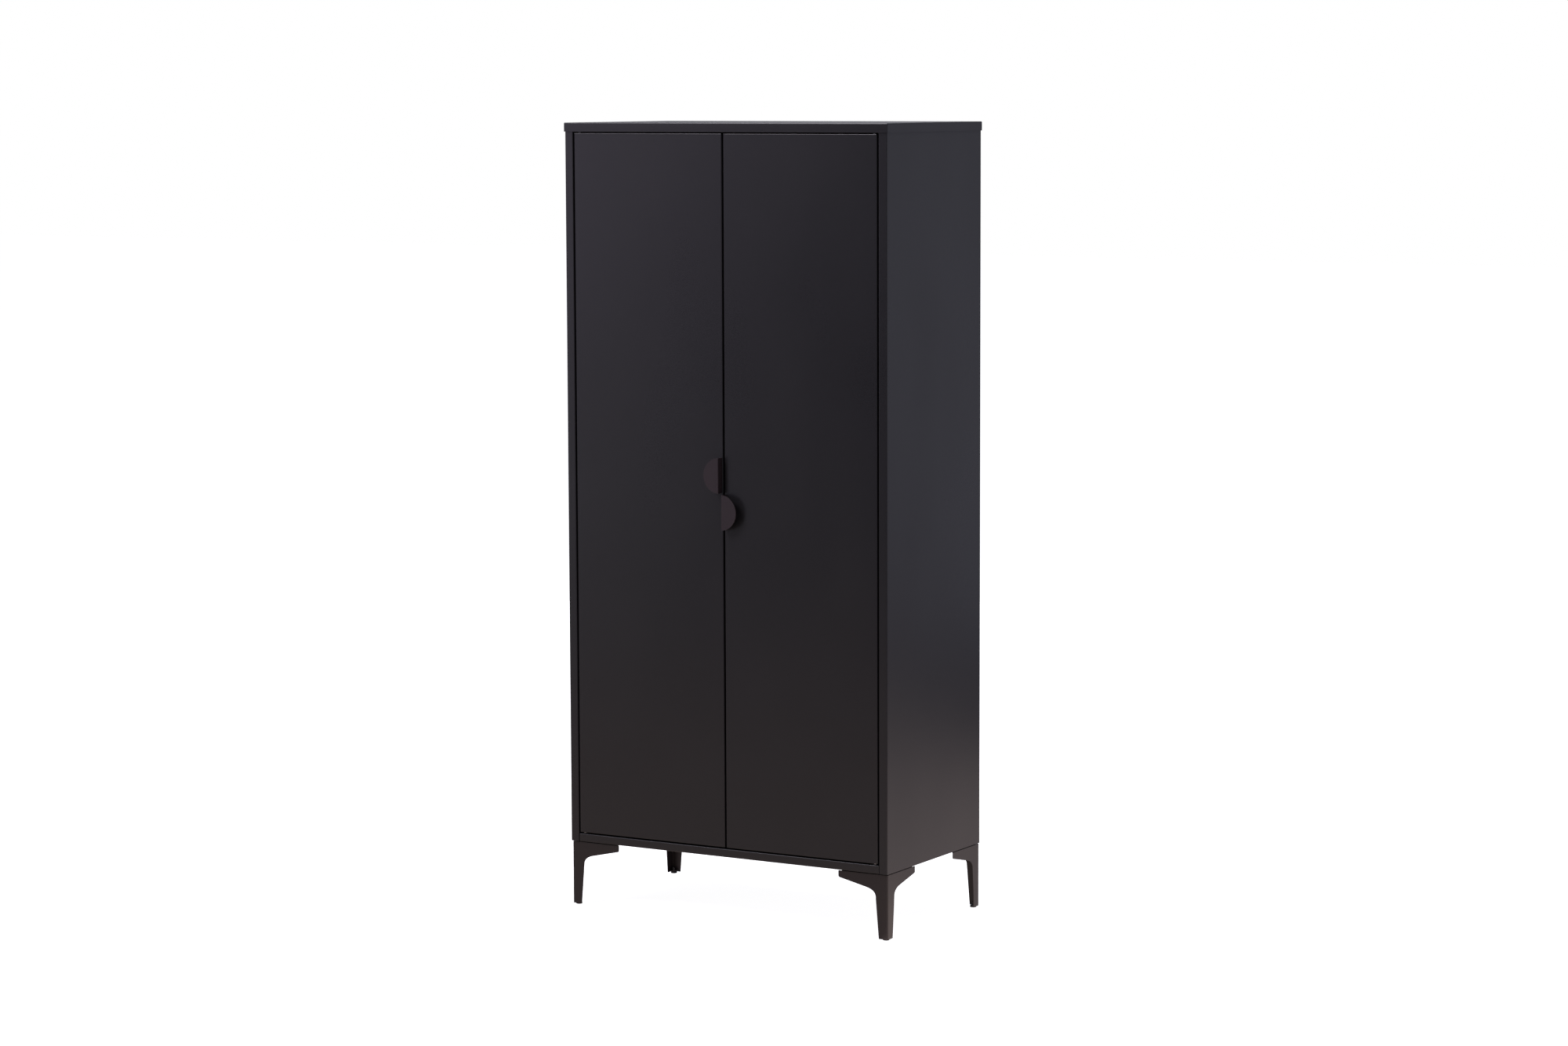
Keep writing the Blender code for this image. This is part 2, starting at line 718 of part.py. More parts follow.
def build_pins(name, side, pivot):
    """A pin at each end of the door. The lower one has a collar that rests on its bush."""
    length = PIN_REACH + PIN_HEAD_HEIGHT
    under_sheet = PIN_HEAD_HEIGHT + FIT + SHEET + FIT
    collar_end = PIN_HEAD_HEIGHT + SHEET + DOOR_BOTTOM - FLOOR_TOP - FIT - BUSH_FLANGE_HEIGHT
    tip = [(0, length), (PIN_RADIUS - PIN_TIP, length), (PIN_RADIUS, length - PIN_TIP)]
    collar = [
        (PIN_RADIUS, collar_end),
        (PIN_SHOULDER, collar_end),
        (PIN_SHOULDER, under_sheet),
        (PIN_RADIUS, under_sheet),
    ]
    head = [(PIN_RADIUS, PIN_HEAD_HEIGHT), (PIN_HEAD, PIN_HEAD_HEIGHT), (PIN_HEAD, 0), (0, 0)]
    shift = SHEET + FIT + PIN_HEAD_HEIGHT
    for end, height, turn, profile in (
        ("top", DOOR_TOP - shift, 0, tip + head),
        ("bottom", DOOR_BOTTOM + shift, 180, tip + collar + head),
    ):
        place = (side * PIVOT_X, PIVOT_Y, height)
        turned("pivot_pin_" + end + "_" + name, profile, "zinc", place, (radians(turn), 0, 0), pivot)


def half_disc(name, side):
    """The handle before it gets its thickness: half disc, web and fixing flange."""
    height = HANDLE_HEIGHTS[name]
    face = FRONT - HANDLE_PROUD
    disc = bmesh.new()
    bmesh.ops.create_circle(disc, cap_ends=True, segments=64, radius=HANDLE_RADIUS)
    bmesh.ops.transform(disc, verts=disc.verts, matrix=oriented("-Y", (HANDLE_CENTRE, face, height)))
    everything = list(disc.verts) + list(disc.edges) + list(disc.faces)
    bmesh.ops.bisect_plane(
        disc,
        geom=everything,
        plane_co=(HANDLE_EDGE, 0, 0),
        plane_no=(1, 0, 0),
        clear_inner=True,
    )
    edge = fold(disc, edges_at(disc, 0, HANDLE_EDGE), (0, HANDLE_PROUD - FIT, 0))
    free = fold(disc, edge, (HANDLE_FLANGE, 0, 0))
    for corner in {v for e in free for v in e.verts}:
        corner.co.z = height + (HANDLE_FLANGE_END if corner.co.z > height else -HANDLE_FLANGE_END)
    return disc if side > 0 else placed_mirror(disc)


def placed_mirror(source):
    twin = mirrored(source)
    source.free()
    return twin


def build_handle(name, side, pivot, drill):
    source = half_disc(name, side)
    bmesh.ops.translate(source, verts=source.verts, vec=-Vector(pivot.location))
    handle = add_part("handle_" + name, source, "leg_paint", pivot.location, parent=pivot)
    make_sheet_metal(handle, HANDLE_PLATE, HANDLE_BEND)
    cut(handle, drill)
    return handle


def handle_screw_points(name, side):
    x = side * (HANDLE_EDGE + HANDLE_PLATE + HANDLE_SCREW_IN)
    rise = HANDLE_SCREW_RISE
    return [(x, FRONT + SHEET + FIT, HANDLE_HEIGHTS[name] + dz) for dz in (-rise, rise)]


def build_door(name, side, pin_holes):
    pivot = add_pivot("pivot_" + name, (side * PIVOT_X, PIVOT_Y, (DOOR_BOTTOM + DOOR_TOP) / 2))
    inner, outer = sorted((side * DOOR_INNER, side * DOOR_OUTER))
    leaf = blank("-Y", (inner, FRONT, DOOR_BOTTOM), (outer, FRONT, DOOR_TOP))
    fold_rim(leaf, (0, DOOR_DEPTH, 0), DOOR_RETURN, (0, 2))
    bmesh.ops.translate(leaf, verts=leaf.verts, vec=-Vector(pivot.location))
    door = add_part("door_leaf_" + name, leaf, "paint", pivot.location, parent=pivot)
    make_sheet_metal(door)
    cut(door, pin_holes)

    screws = handle_screw_points(name, side)
    drill = add_drill("handle_drill_" + name, screws, HANDLE_SCREW_HOLE, 3 * DRILL_DEPTH, "Y")
    cut(door, drill)
    build_handle(name, side, pivot, drill)
    for letter, point in zip("ab", screws):
        screw("handle_screw_" + name + "_" + letter, point, (radians(-90), 0, 0), HANDLE_SCREW, pivot)

    build_stiffener(name, side, pivot)
    build_pins(name, side, pivot)
    build_strike_and_buffer(name, side, pivot)


def build_stiffener(name, side, pivot):
    """A hat-section channel up the inside of the door."""
    centre = side * (DOOR_INNER + DOOR_OUTER) / 2
    left, right = centre - STIFFENER_HALF, centre + STIFFENER_HALF
    low, high = DOOR_BOTTOM + STIFFENER_END, DOOR_TOP - STIFFENER_END
    top = FRONT + SHEET + FIT + STIFFENER_DEPTH
    crown = blank("+Y", (left, top, low), (right, top, high))
    for edge, out in ((left, -1), (right, 1)):
        web = fold(crown, edges_at(crown, 0, edge), (0, SHEET - STIFFENER_DEPTH, 0))
        fold(crown, web, (out * STIFFENER_FLANGE, 0, 0))
    bmesh.ops.translate(crown, verts=crown.verts, vec=-Vector(pivot.location))
    part = add_part("door_stiffener_" + name, crown, "paint", pivot.location, parent=pivot)
    make_sheet_metal(part)


def build_strike_and_buffer(name, side, pivot):
    """Steel for the magnet at the door's top, and a rubber buffer at its foot."""
    back = FRONT + DOOR_DEPTH + FIT
    near, far = sorted(side * x for x in STRIKE_X)
    high, low = (DOOR_TOP - drop for drop in STRIKE_HEIGHT)
    plate = box((near, back, low), (far, back + STRIKE_SHEET, high))
    bmesh.ops.translate(plate, verts=plate.verts, vec=-Vector(pivot.location))
    add_part("strike_plate_" + name, plate, "zinc", pivot.location, parent=pivot)
    pad = [
        (0, BUFFER_HEIGHT),
        (BUFFER_RADIUS - BUFFER_EDGE, BUFFER_HEIGHT),
        (BUFFER_RADIUS, BUFFER_HEIGHT - BUFFER_EDGE),
        (BUFFER_RADIUS, 0),
        (0, 0),
    ]
    place = (side * BUFFER_X, back, DOOR_BOTTOM + BUFFER_RISE)
    turned("door_buffer_" + name, pad, "black_plastic", place, (radians(-90), 0, 0), pivot)


def build_catches():
    """A magnetic catch for each door under the header, and one stop on the floor for both."""
    door_back = FRONT + DOOR_DEPTH + FIT
    front = door_back + STRIKE_SHEET + FIT
    for name, side in (("left", -1), ("right", 1)):
        near, far = sorted(side * x for x in CATCH_X)
        body = box((near, front, HEADER_BASE - CATCH_HEIGHT), (far, front + CATCH_DEPTH, HEADER_BASE - FIT))
        soften(add_part("magnet_catch_" + name, body, "black_plastic"), 0.001)
    face = door_back + BUFFER_HEIGHT + FIT
    foot = FLOOR_TOP + FIT
    stop = blank("-Y", (-STOP_HALF, face, foot), (STOP_HALF, face, foot + STOP_HEIGHT))
    fold(stop, edges_at(stop, 2, foot), (0, STOP_HEIGHT, 0))
    make_sheet_metal(add_part("door_stop", stop, "paint"))


def build_back_screws():
    for name, side in (("left", -1), ("right", 1)):
        for level, height in BACK_SCREW_HEIGHTS.items():
            label = "back_screw_" + name + "_" + level
            point = (side * BACK_SCREW_X, BACK + FIT, height)
            screw(label, point, (radians(-90), 0, 0), BACK_SCREW)


def pin_hole_points():
    ends = (HEADER_BASE, FLOOR_TOP)
    return [(side * PIVOT_X, PIVOT_Y, height) for side in (-1, 1) for height in ends]


def build_wardrobe():
    clear_scene()
    bush_holes = add_drill("bush_holes", pin_hole_points(), BUSH_RADIUS + FIT)
    leg_holes = add_drill("leg_holes", leg_screw_points(), LEG_SCREW_HOLE, 3 * DRILL_DEPTH, segments=16)
    build_side_panels()
    build_lid()
    build_header(bush_holes)
    build_floor_tray(bush_holes, leg_holes)
    build_back_panel()
    build_shelf()
    build_rail()
    build_legs(leg_holes)
    build_bushes()
    build_catches()
    build_back_screws()
    ends = (DOOR_TOP, DOOR_BOTTOM)
    points = [(side * PIVOT_X, PIVOT_Y, height) for side in (-1, 1) for height in ends]
    pin_holes = add_drill("pin_holes", points, PIN_RADIUS + FIT, segments=16)
    for name, side in (("left", -1), ("right", 1)):
        build_door(name, side, pin_holes)


build_wardrobe()
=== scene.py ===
"""The looks of the two-door steel wardrobe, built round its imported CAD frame.

Metres, +Z up, in the frame's own coordinates. Folded panels are the CAD's own nodes with softened
edges; pulls, legs and small fittings are finer pieces that stand for their CAD nodes.
"""

import json
from math import cos, pi, radians, sin

import bmesh
import bpy
from mathutils import Matrix, Vector

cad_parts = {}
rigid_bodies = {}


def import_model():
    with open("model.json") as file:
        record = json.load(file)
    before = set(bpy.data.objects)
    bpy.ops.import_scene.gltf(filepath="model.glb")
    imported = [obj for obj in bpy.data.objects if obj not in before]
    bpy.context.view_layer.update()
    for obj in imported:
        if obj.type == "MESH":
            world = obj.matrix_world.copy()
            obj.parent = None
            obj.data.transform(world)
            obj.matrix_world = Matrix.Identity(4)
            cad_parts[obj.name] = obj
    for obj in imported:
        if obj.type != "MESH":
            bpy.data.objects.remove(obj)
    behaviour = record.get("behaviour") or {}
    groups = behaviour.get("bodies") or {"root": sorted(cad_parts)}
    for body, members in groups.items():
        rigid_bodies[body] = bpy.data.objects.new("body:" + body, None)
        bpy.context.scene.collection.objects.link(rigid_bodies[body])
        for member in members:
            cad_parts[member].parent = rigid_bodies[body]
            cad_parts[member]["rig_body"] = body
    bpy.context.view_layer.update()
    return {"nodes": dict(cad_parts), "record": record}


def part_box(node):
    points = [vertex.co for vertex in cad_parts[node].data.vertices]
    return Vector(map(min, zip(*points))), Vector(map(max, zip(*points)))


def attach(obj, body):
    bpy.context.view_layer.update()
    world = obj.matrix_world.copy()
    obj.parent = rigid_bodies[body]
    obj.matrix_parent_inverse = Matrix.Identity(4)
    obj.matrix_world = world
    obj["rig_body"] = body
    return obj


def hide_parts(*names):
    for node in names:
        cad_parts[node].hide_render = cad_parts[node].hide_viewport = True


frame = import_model()

scene = bpy.context.scene
nodes = frame["nodes"]
node_slot = {item["node"]: item["material_slot"] for item in frame["record"]["subparts"]}
replaced = set()

SIDES = {"left": -1, "right": 1}
CORNERS = {
    "front_left": (-1, -1),
    "front_right": (1, -1),
    "back_left": (-1, 1),
    "back_right": (1, 1),
}
UP, DOWN, RIGHT, BACKWARD = (0, 0, 1), (0, 0, -1), (1, 0, 0), (0, 1, 0)

# ---- sheets: the rounding of cut edges, thicknesses and fold radii ----
CARRIED_EDGE = 0.00022
PLATE_EDGE = 0.00045
PULL_SHEET, PULL_BEND = 0.002, 0.0024
LEG_SHEET, LEG_BEND = 0.002, 0.0025

# ---- pulls: distances from the middle of the cabinet, and the fixing flange ----
PULL_CENTRE = 0.002
PULL_EDGE = 0.0035
PULL_FLANGE = 0.016
PULL_FLANGE_END = 0.025
PULL_STEPS = 96

# ---- legs: one wing, then the top plate and the gusset between the wings ----
WING_LENGTH = 0.120
WING_DROP = 0.0014
WING_TIP = 0.014
WING_TIP_RADIUS = 0.0035
WING_TIP_CORNER = 0.0012
WING_ANKLE = 0.022
# where the sweep leaves the slope, the corner it heads for and its end, as (along, below the top)
WING_CURVE = ((0.053, 0.029), (0.0312, 0.034), (0.0295, 0.047))
PLATE_SHEET = 0.003
PLATE_SHORT_OF_TIP = 0.006
PLATE_WIDTH = 0.026
PLATE_SETBACK = 0.006
PLATE_STEP_BELOW_WING = 0.0003
GUSSET_REACH, GUSSET_NOSE = 0.0185, 0.005
GUSSET_HEIGHTS = (0.0042, 0.0062)
LEG_PLATE_EDGE = 0.0004

# ---- turned fittings: profiles as (radius, distance from the base) ----
PIN_HEAD = [(0.005, 0), (0.005, 0.003), (0.00285, 0.003)]
PIN_COLLAR = [(0.00285, 0.0046), (0.004, 0.0046), (0.004, 0.0057), (0.00285, 0.0057)]
PIN_TIP = [(0.00285, 0.0129), (0.0023, 0.0135)]
PINS = {"top": PIN_HEAD + PIN_TIP, "bottom": PIN_HEAD + PIN_COLLAR + PIN_TIP}
BUSH = [(0.003, 0), (0.0065, 0), (0.0065, 0.001), (0.005, 0.001), (0.005, 0.006), (0.003, 0.006)]
GLIDE = [(0.0058, 0), (0.0066, 0.0003), (0.007, 0.0012), (0.007, 0.0032), (0.0066, 0.0038), (0.003, 0.0038),
         (0.003, 0.0119), (0.0025, 0.0125)]
BUFFER = [(0.004, 0), (0.004, 0.0014), (0.0036, 0.0020), (0.0028, 0.0023), (0.0012, 0.0024)]
SOCKET = [(0.022, 0), (0.022, 0.0018), (0.0151, 0.0024), (0.0151, 0.014), (0.0129, 0.014), (0.0129, 0.003)]
RIVET = [(0.0022, -0.0006), (0.0022, 0.0), (0.0019, 0.0001), (0.0008, 0.0001), (0.0006, -0.0002)]
RAIL_WALL = 0.0012

# ---- screws ----
DOME_ANGLES = (0, 0.3, 0.6, 0.85, 1.05)
DOME_FULLNESS = 0.7
DOME_RIM = 0.25
SCREW_POINT = 0.001
SCREW_CHAMFER = 0.0004
THREAD_PITCH = 0.0005
THREAD_CREST, THREAD_ROOT = 0.0002, 0.00045
ROOT_WIDTH, POINT_WIDTH = 0.88, 0.7

# ---- magnet catches and strike plates ----
CATCH_WALL = 0.0022
CATCH_RECESS = 0.0035
CATCH_BAR_MARGIN = 0.0035
CATCH_BAR_DEPTH = 0.0035
# thickness, height above the middle, setback from the case's front, and slot
CATCH_BARS = {
    "pole_low": (0.0012, -0.0036, 0.0004, "zinc_steel"),
    "pole_high": (0.0012, 0.0036, 0.0004, "zinc_steel"),
    "magnet": (0.0054, 0.0, 0.0012, "rubber"),
}
STRIKE_CORNER = 0.002
RIVET_MARGIN = 0.007
RIVET_RISE = 0.0001

# ---- camera, in degrees and millimetres but for its place ----
CAMERA_YAW, CAMERA_PITCH, CAMERA_ROLL = 30.487, 6.2545, -0.1924
CAMERA_LENS, CAMERA_SENSOR = 91.82, 36
CAMERA_PLACE = (4.41806, -7.45268, 1.79749)

# ---- studio ----
FLOOR_REACH = 30
FLOOR_GLOW = 0.93
ROOM = (0.08, 0.08, 0.11)
# where it hangs, what it faces, its size, and what its face would show
SOFT_LIGHTS = {
    "left_high": ((-2.95, -3.2, 1.8), (-0.3, 0, 1.3), (1.5, 1.6), (0.93, 0.84, 1.07)),
    "left_low": ((-2.95, -3.2, 0.5), (-0.3, 0, 0.5), (1.5, 0.9), (0.65, 0.63, 0.69)),
    "behind": ((2.4, 3.4, 1.25), (0.4, 0, 0.9), (2.2, 2.5), (0.30, 0.30, 0.35)),
    "floor_front": ((-0.8, -1.30, 0.001), (-0.8, -1.30, 1), (3.6, 3.0), (0.40, 0.31, 0.25)),
    "floor_right": ((1.29, 0.5, 0.001), (1.29, 0.5, 1), (1.82, 2.8), (0.71, 0.59, 0.56)),
    "key": ((-1.9, -2.9, 3.9), (0, -0.2, 1.7), (1.6, 1.6), (12.0, 11.2, 12.5)),
    "overhead": ((0.1, 0.1, 3.6), (0.1, 0.1, 0), (2.8, 2.6), (4.0, 4.0, 4.2)),
    "front": ((1.1, -4.6, 1.3), (0, 0, 0.9), (1.8, 2.4), (0.30, 0.29, 0.31)),
    "front_right": ((3.9, -2.6, 1.2), (0.2, 0, 0.9), (2.2, 2.4), (0.25, 0.24, 0.26)),
    "right": ((4.4, 0.1, 1.1), (0.4, 0, 0.9), (2.4, 2.4), (0.42, 0.41, 0.44)),
    "backdrop": ((-2.4, 4.6, 1.3), (0, 0, 1.2), (3.6, 2.6), (0.70, 0.70, 0.72)),
}


# ---- materials ----
class Nodes:
    """Short names for building one material's node tree."""

    def __init__(self, name):
        self.material = bpy.data.materials.new(name)
        self.material.use_nodes = True
        self.tree = self.material.node_tree
        self.shader = self.tree.nodes["Principled BSDF"]
        self.place = self.tree.nodes.new("ShaderNodeTexCoord").outputs["Object"]

    def link(self, source, target):
        self.tree.links.new(source, target)

    def feed(self, socket, value):
        """Links an output to a socket, or sets the socket to a number or colour."""
        if isinstance(value, bpy.types.NodeSocket):
            self.link(value, socket)
        else:
            socket.default_value = value

    def node(self, kind, **inputs):
        made = self.tree.nodes.new(kind)
        for key, value in inputs.items():
            self.feed(made.inputs[key], value)
        return made

    def noise(self, scale, detail=2.0, stretch=None):
        place = self.place
        if stretch is not None:
            place = self.node("ShaderNodeMapping", Vector=self.place, Scale=stretch).outputs["Vector"]
        return self.node("ShaderNodeTexNoise", Vector=place, Scale=scale, Detail=detail).outputs["Fac"]

    def spread(self, value, low, high, start=0.3, end=0.7):
        """Takes a value that runs from start to end to one that runs from low to high."""
        made = self.node("ShaderNodeMapRange", Value=value)
        for label, number in (("From Min", start), ("From Max", end), ("To Min", low), ("To Max", high)):
            made.inputs[label].default_value = number
        return made.outputs["Result"]

    def mix(self, factor, first, second):
        """A blend of two colours, each an output or three numbers."""
        made = self.tree.nodes.new("ShaderNodeMix")
        made.data_type = "RGBA"
        self.feed(made.inputs[0], factor)
        for socket, colour in ((made.inputs[6], first), (made.inputs[7], second)):
            self.feed(socket, colour if isinstance(colour, bpy.types.NodeSocket) else (*colour, 1))
        return made.outputs[2]

    def math(self, operation, first, second):
        made = self.tree.nodes.new("ShaderNodeMath")
        made.operation = operation
        self.feed(made.inputs[0], first)
        self.feed(made.inputs[1], second)
        return made.outputs[0]

    def edges(self, radius, low=0.80, high=0.99):
        """One along worn edges and nought on flat faces."""
        rounded = self.node("ShaderNodeBevel", Radius=radius)
        rounded.samples = 6
        flat = self.tree.nodes.new("ShaderNodeNewGeometry").outputs["Normal"]
        facing = self.tree.nodes.new("ShaderNodeVectorMath")
        facing.operation = "DOT_PRODUCT"
        self.link(rounded.outputs["Normal"], facing.inputs[0])
        self.link(flat, facing.inputs[1])
        return self.spread(facing.outputs["Value"], 1.0, 0.0, low, high)

    def bumps(self, *layers):
        """Bump nodes in a chain, from (height, distance) pairs."""
        normal = None
        for height, distance in layers:
            bump = self.node("ShaderNodeBump", Height=height, Distance=distance)
            if normal is not None:
                self.link(normal, bump.inputs["Normal"])
            normal = bump.outputs["Normal"]
        self.link(normal, self.shader.inputs["Normal"])


def shade(colour, share):
    """A colour made lighter or darker, no lighter than white."""
    return [min(1.0, share * channel) for channel in colour]


def paint(name, colour, worn, roughness, waviness):
    """Satin powder coat: fine orange peel, faint mottling, sheet waviness and lighter worn edges."""
    n = Nodes(name)
    mottle = n.noise(scale=6.0, detail=3.0)
    grain = n.noise(scale=1400.0, detail=1.0)
    streak = n.noise(scale=3.0, stretch=(1.0, 1.0, 0.35))
    peel = n.noise(scale=620.0)
    patches = n.noise(scale=35.0, detail=4.0)
    base = n.mix(n.spread(mottle, 0.0, 1.0), shade(colour, 0.93), shade(colour, 1.07))
    base = n.mix(n.spread(grain, 0.0, 0.30), base, shade(colour, 1.5))
    rub = n.math("MULTIPLY", n.edges(radius=0.0012), n.spread(patches, 0.05, 0.45))
    n.link(n.mix(rub, base, worn), n.shader.inputs["Base Color"])
    gloss = n.math("ADD", n.spread(streak, roughness - 0.04, roughness + 0.04), n.spread(grain, -0.02, 0.02))
    n.link(gloss, n.shader.inputs["Roughness"])
    n.bumps((streak, waviness), (peel, 0.00004), (grain, 0.00001))
    return n.material


def plated(name, colour, roughness, scratch=(1.0, 1.0, 1.0)):
    """Zinc or chrome plating: metal with fine scratches, cloudy roughness and dull spots."""
    n = Nodes(name)
    cloud = n.noise(scale=90.0, detail=4.0)
    fine = n.noise(scale=900.0, stretch=scratch)
    dull = n.spread(n.noise(scale=240.0, detail=3.0), 0.0, 0.5, start=0.52, end=0.72)
    base = n.mix(n.spread(cloud, 0.0, 1.0), shade(colour, 0.90), colour)
    n.link(n.mix(dull, base, shade(colour, 0.70)), n.shader.inputs["Base Color"])
    n.shader.inputs["Metallic"].default_value = 1.0
    gloss = n.math("ADD", n.spread(cloud, roughness, roughness + 0.08), n.spread(fine, -0.03, 0.05))
    n.link(gloss, n.shader.inputs["Roughness"])
    n.bumps((fine, 0.00001))
    return n.material


def moulded(name, colour, roughness, grain_scale, grain_depth):
    """Moulded plastic or rubber with a fine spark-eroded grain."""
    n = Nodes(name)
    grain = n.noise(scale=grain_scale, detail=3.0)
    cloud = n.noise(scale=60.0, detail=3.0)
    base = n.mix(n.spread(cloud, 0.0, 1.0), shade(colour, 0.88), shade(colour, 1.1))
    scuff = n.math("MULTIPLY", n.edges(radius=0.0008), n.spread(cloud, 0.1, 0.6))
    scuffed = [0.04 + 1.4 * channel for channel in colour]
    n.link(n.mix(scuff, base, scuffed), n.shader.inputs["Base Color"])
    n.link(n.spread(grain, roughness - 0.07, roughness + 0.07), n.shader.inputs["Roughness"])
    n.bumps((grain, grain_depth))
    return n.material


PAINT_WORN = (0.045, 0.043, 0.046)
LEG_WORN = (0.080, 0.068, 0.064)
finish = {
    "cabinet_paint": paint("cabinet_paint_coat", (0.0120, 0.0116, 0.0127), PAINT_WORN, 0.32, 0.00020),
    "leg_paint": paint("leg_paint_coat", (0.0150, 0.0115, 0.0115), LEG_WORN, 0.36, 0.00006),
    "zinc_steel": plated("zinc_plate", (0.62, 0.62, 0.60), 0.28),
    "chrome_rail": plated("chrome_plate", (0.78, 0.78, 0.79), 0.10, scratch=(0.05, 1.0, 1.0)),
    "rubber": moulded("black_rubber", (0.013, 0.013, 0.013), 0.72, 800.0, 0.00003),
    "black_plastic": moulded("black_plastic_grain", (0.012, 0.012, 0.012), 0.52, 1300.0, 0.00002),
}
PULL_PAINT = paint("pull_paint_coat", (0.0270, 0.0190, 0.0215), LEG_WORN, 0.36, 0.00006)


# ---- pieces ----
def smooth_faces():
    """A node group that joins the CAD's split corners and shades them smooth."""
    group = bpy.data.node_groups.new("join_and_smooth", "GeometryNodeTree")
    group.interface.new_socket("Geometry", in_out="INPUT", socket_type="NodeSocketGeometry")
    group.interface.new_socket("Geometry", in_out="OUTPUT", socket_type="NodeSocketGeometry")
    start = group.nodes.new("NodeGroupInput")
    end = group.nodes.new("NodeGroupOutput")
    merge = group.nodes.new("GeometryNodeMergeByDistance")
    merge.inputs["Distance"].default_value = 0.00001
    smooth = group.nodes.new("GeometryNodeSetShadeSmooth")
    group.links.new(start.outputs[0], merge.inputs["Geometry"])
    group.links.new(merge.outputs["Geometry"], smooth.inputs["Geometry"])
    group.links.new(smooth.outputs["Geometry"], end.inputs[0])
    return group


SMOOTH = smooth_faces()


def soften(piece, width, segments=2, angle=40):
    """Rounds the edges sharper than an angle, and shades the faces between them flat."""
    edge = piece.modifiers.new("edges", "BEVEL")
    edge.width = width
    edge.segments = segments
    edge.limit_method = "ANGLE"
    edge.angle_limit = radians(angle)
    edge.harden_normals = True
    shading = piece.modifiers.new("shading", "WEIGHTED_NORMAL")
    shading.keep_sharp = False
    shading.weight = 80


def carry(name):
    """A CAD node shown as it is, with its sheet edges rounded and its folds shaded smooth."""
    piece = nodes[name]
    piece.data.materials.clear()
    piece.data.materials.append(finish[node_slot[name]])
    piece.modifiers.new("join", "NODES").node_group = SMOOTH
    soften(piece, CARRIED_EDGE)


def add_piece(name, source, stands_for, slot=None, material=None):
    """A new piece that takes the place of a CAD node and rides its body."""
    mesh = bpy.data.meshes.new(name)
    source.to_mesh(mesh)
    source.free()
    mesh.polygons.foreach_set("use_smooth", [True] * len(mesh.polygons))
    slot = slot or node_slot[stands_for]
    mesh.materials.append(material or finish[slot])
    piece = bpy.data.objects.new(name, mesh)
    scene.collection.objects.link(piece)
    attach(piece, nodes[stands_for]["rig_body"])
    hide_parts(stands_for)
    replaced.add(stands_for)
    return piece


def end_point(name, direction):
    """The middle of a CAD node's face on that side."""
    low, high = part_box(name)
    middle, half = (low + high) / 2, (high - low) / 2
    return middle + Vector([d * h for d, h in zip(direction, half)])


def corners_of(made):
    """The new corners among what an extrusion returned."""
    return [item for item in made["geom"] if isinstance(item, bmesh.types.BMVert)]


def block(low, high):
    """A box between two corners, to be cut or softened."""
    shape = bmesh.new()
    bmesh.ops.create_cube(shape, size=1)
    bmesh.ops.scale(shape, verts=shape.verts, vec=high - low)
    bmesh.ops.translate(shape, verts=shape.verts, vec=(low + high) / 2)
    return shape


def stack(shape, layers):
    """A closed body through outlines with the same number of corners, each at its own height."""
    rings = [[shape.verts.new((x, y, height)) for x, y in outline] for outline, height in layers]
    shape.faces.new(rings[0])
    shape.faces.new(rings[-1])
    for low, high in zip(rings, rings[1:]):
        for i in range(len(low)):
            shape.faces.new((low[i - 1], low[i], high[i], high[i - 1]))


def turned(profile, steps=40, loop=False):
    """A turned shape about Z. A radius may be a function of the angle. Its ends are closed."""
    shape = bmesh.new()
    rings = []
    for radius, height in profile:
        ring = []
        for i in range(steps):
            angle = 2 * pi * i / steps
            reach = radius(angle) if callable(radius) else radius
            ring.append(shape.verts.new((reach * cos(angle), reach * sin(angle), height)))
        rings.append(ring)
    pairs = list(zip(rings, rings[1:]))
    if loop:
        pairs.append((rings[-1], rings[0]))
    else:
        shape.faces.new(rings[0])
        shape.faces.new(rings[-1])
    for first, second in pairs:
        for i in range(steps):
            j = (i + 1) % steps
            shape.faces.new((first[i], first[j], second[j], second[i]))
    bmesh.ops.recalc_face_normals(shape, faces=shape.faces)
    return shape


def turn_to(source, direction, base):
    """Moves a turned shape so that its Z axis points along direction, from base."""
    turn = Vector(UP).rotation_difference(Vector(direction)).to_matrix().to_4x4()
    bmesh.ops.transform(source, verts=source.verts, matrix=Matrix.Translation(base) @ turn)
    return source


def fitting(name, profile, direction, edge, segments=2, angle=40, steps=40, loop=False):
    """A turned piece in the place of a CAD node, its profile running in that direction."""
    base = end_point(name, [-d for d in direction])
    source = turn_to(turned(profile, steps, loop), direction, base)
    soften(add_piece("fine_" + name, source, name), edge, segments, angle)


def cross(length, width):
    """The outline of a cross recess, as a radius for each angle."""

    def radius(angle):
        off = abs((angle + pi / 4) % (pi / 2) - pi / 4)
        return min(length / cos(off), width / max(sin(off), 0.01))

    return radius


def hexagon(across):
    """The outline of a hexagon socket, from its size across flats."""

    def radius(angle):
        off = abs((angle + pi / 6) % (pi / 3) - pi / 6)
        return across / 2 / cos(off)

    return radius


# the way out, the head's radius and height, the shank's radius and length, the recess and its depth
SCREWS = {
    "leg_screw": (DOWN, 0.0055, 0.0032, 0.0027, 0.014, hexagon(0.003), 0.0018),
    "handle_screw": (BACKWARD, 0.0036, 0.0022, 0.0019, 0.003, cross(0.0018, 0.00045), 0.0012),
    "back_screw": (BACKWARD, 0.004, 0.0012, 0.002, 0.007, cross(0.0020, 0.0005), 0.0008),
}


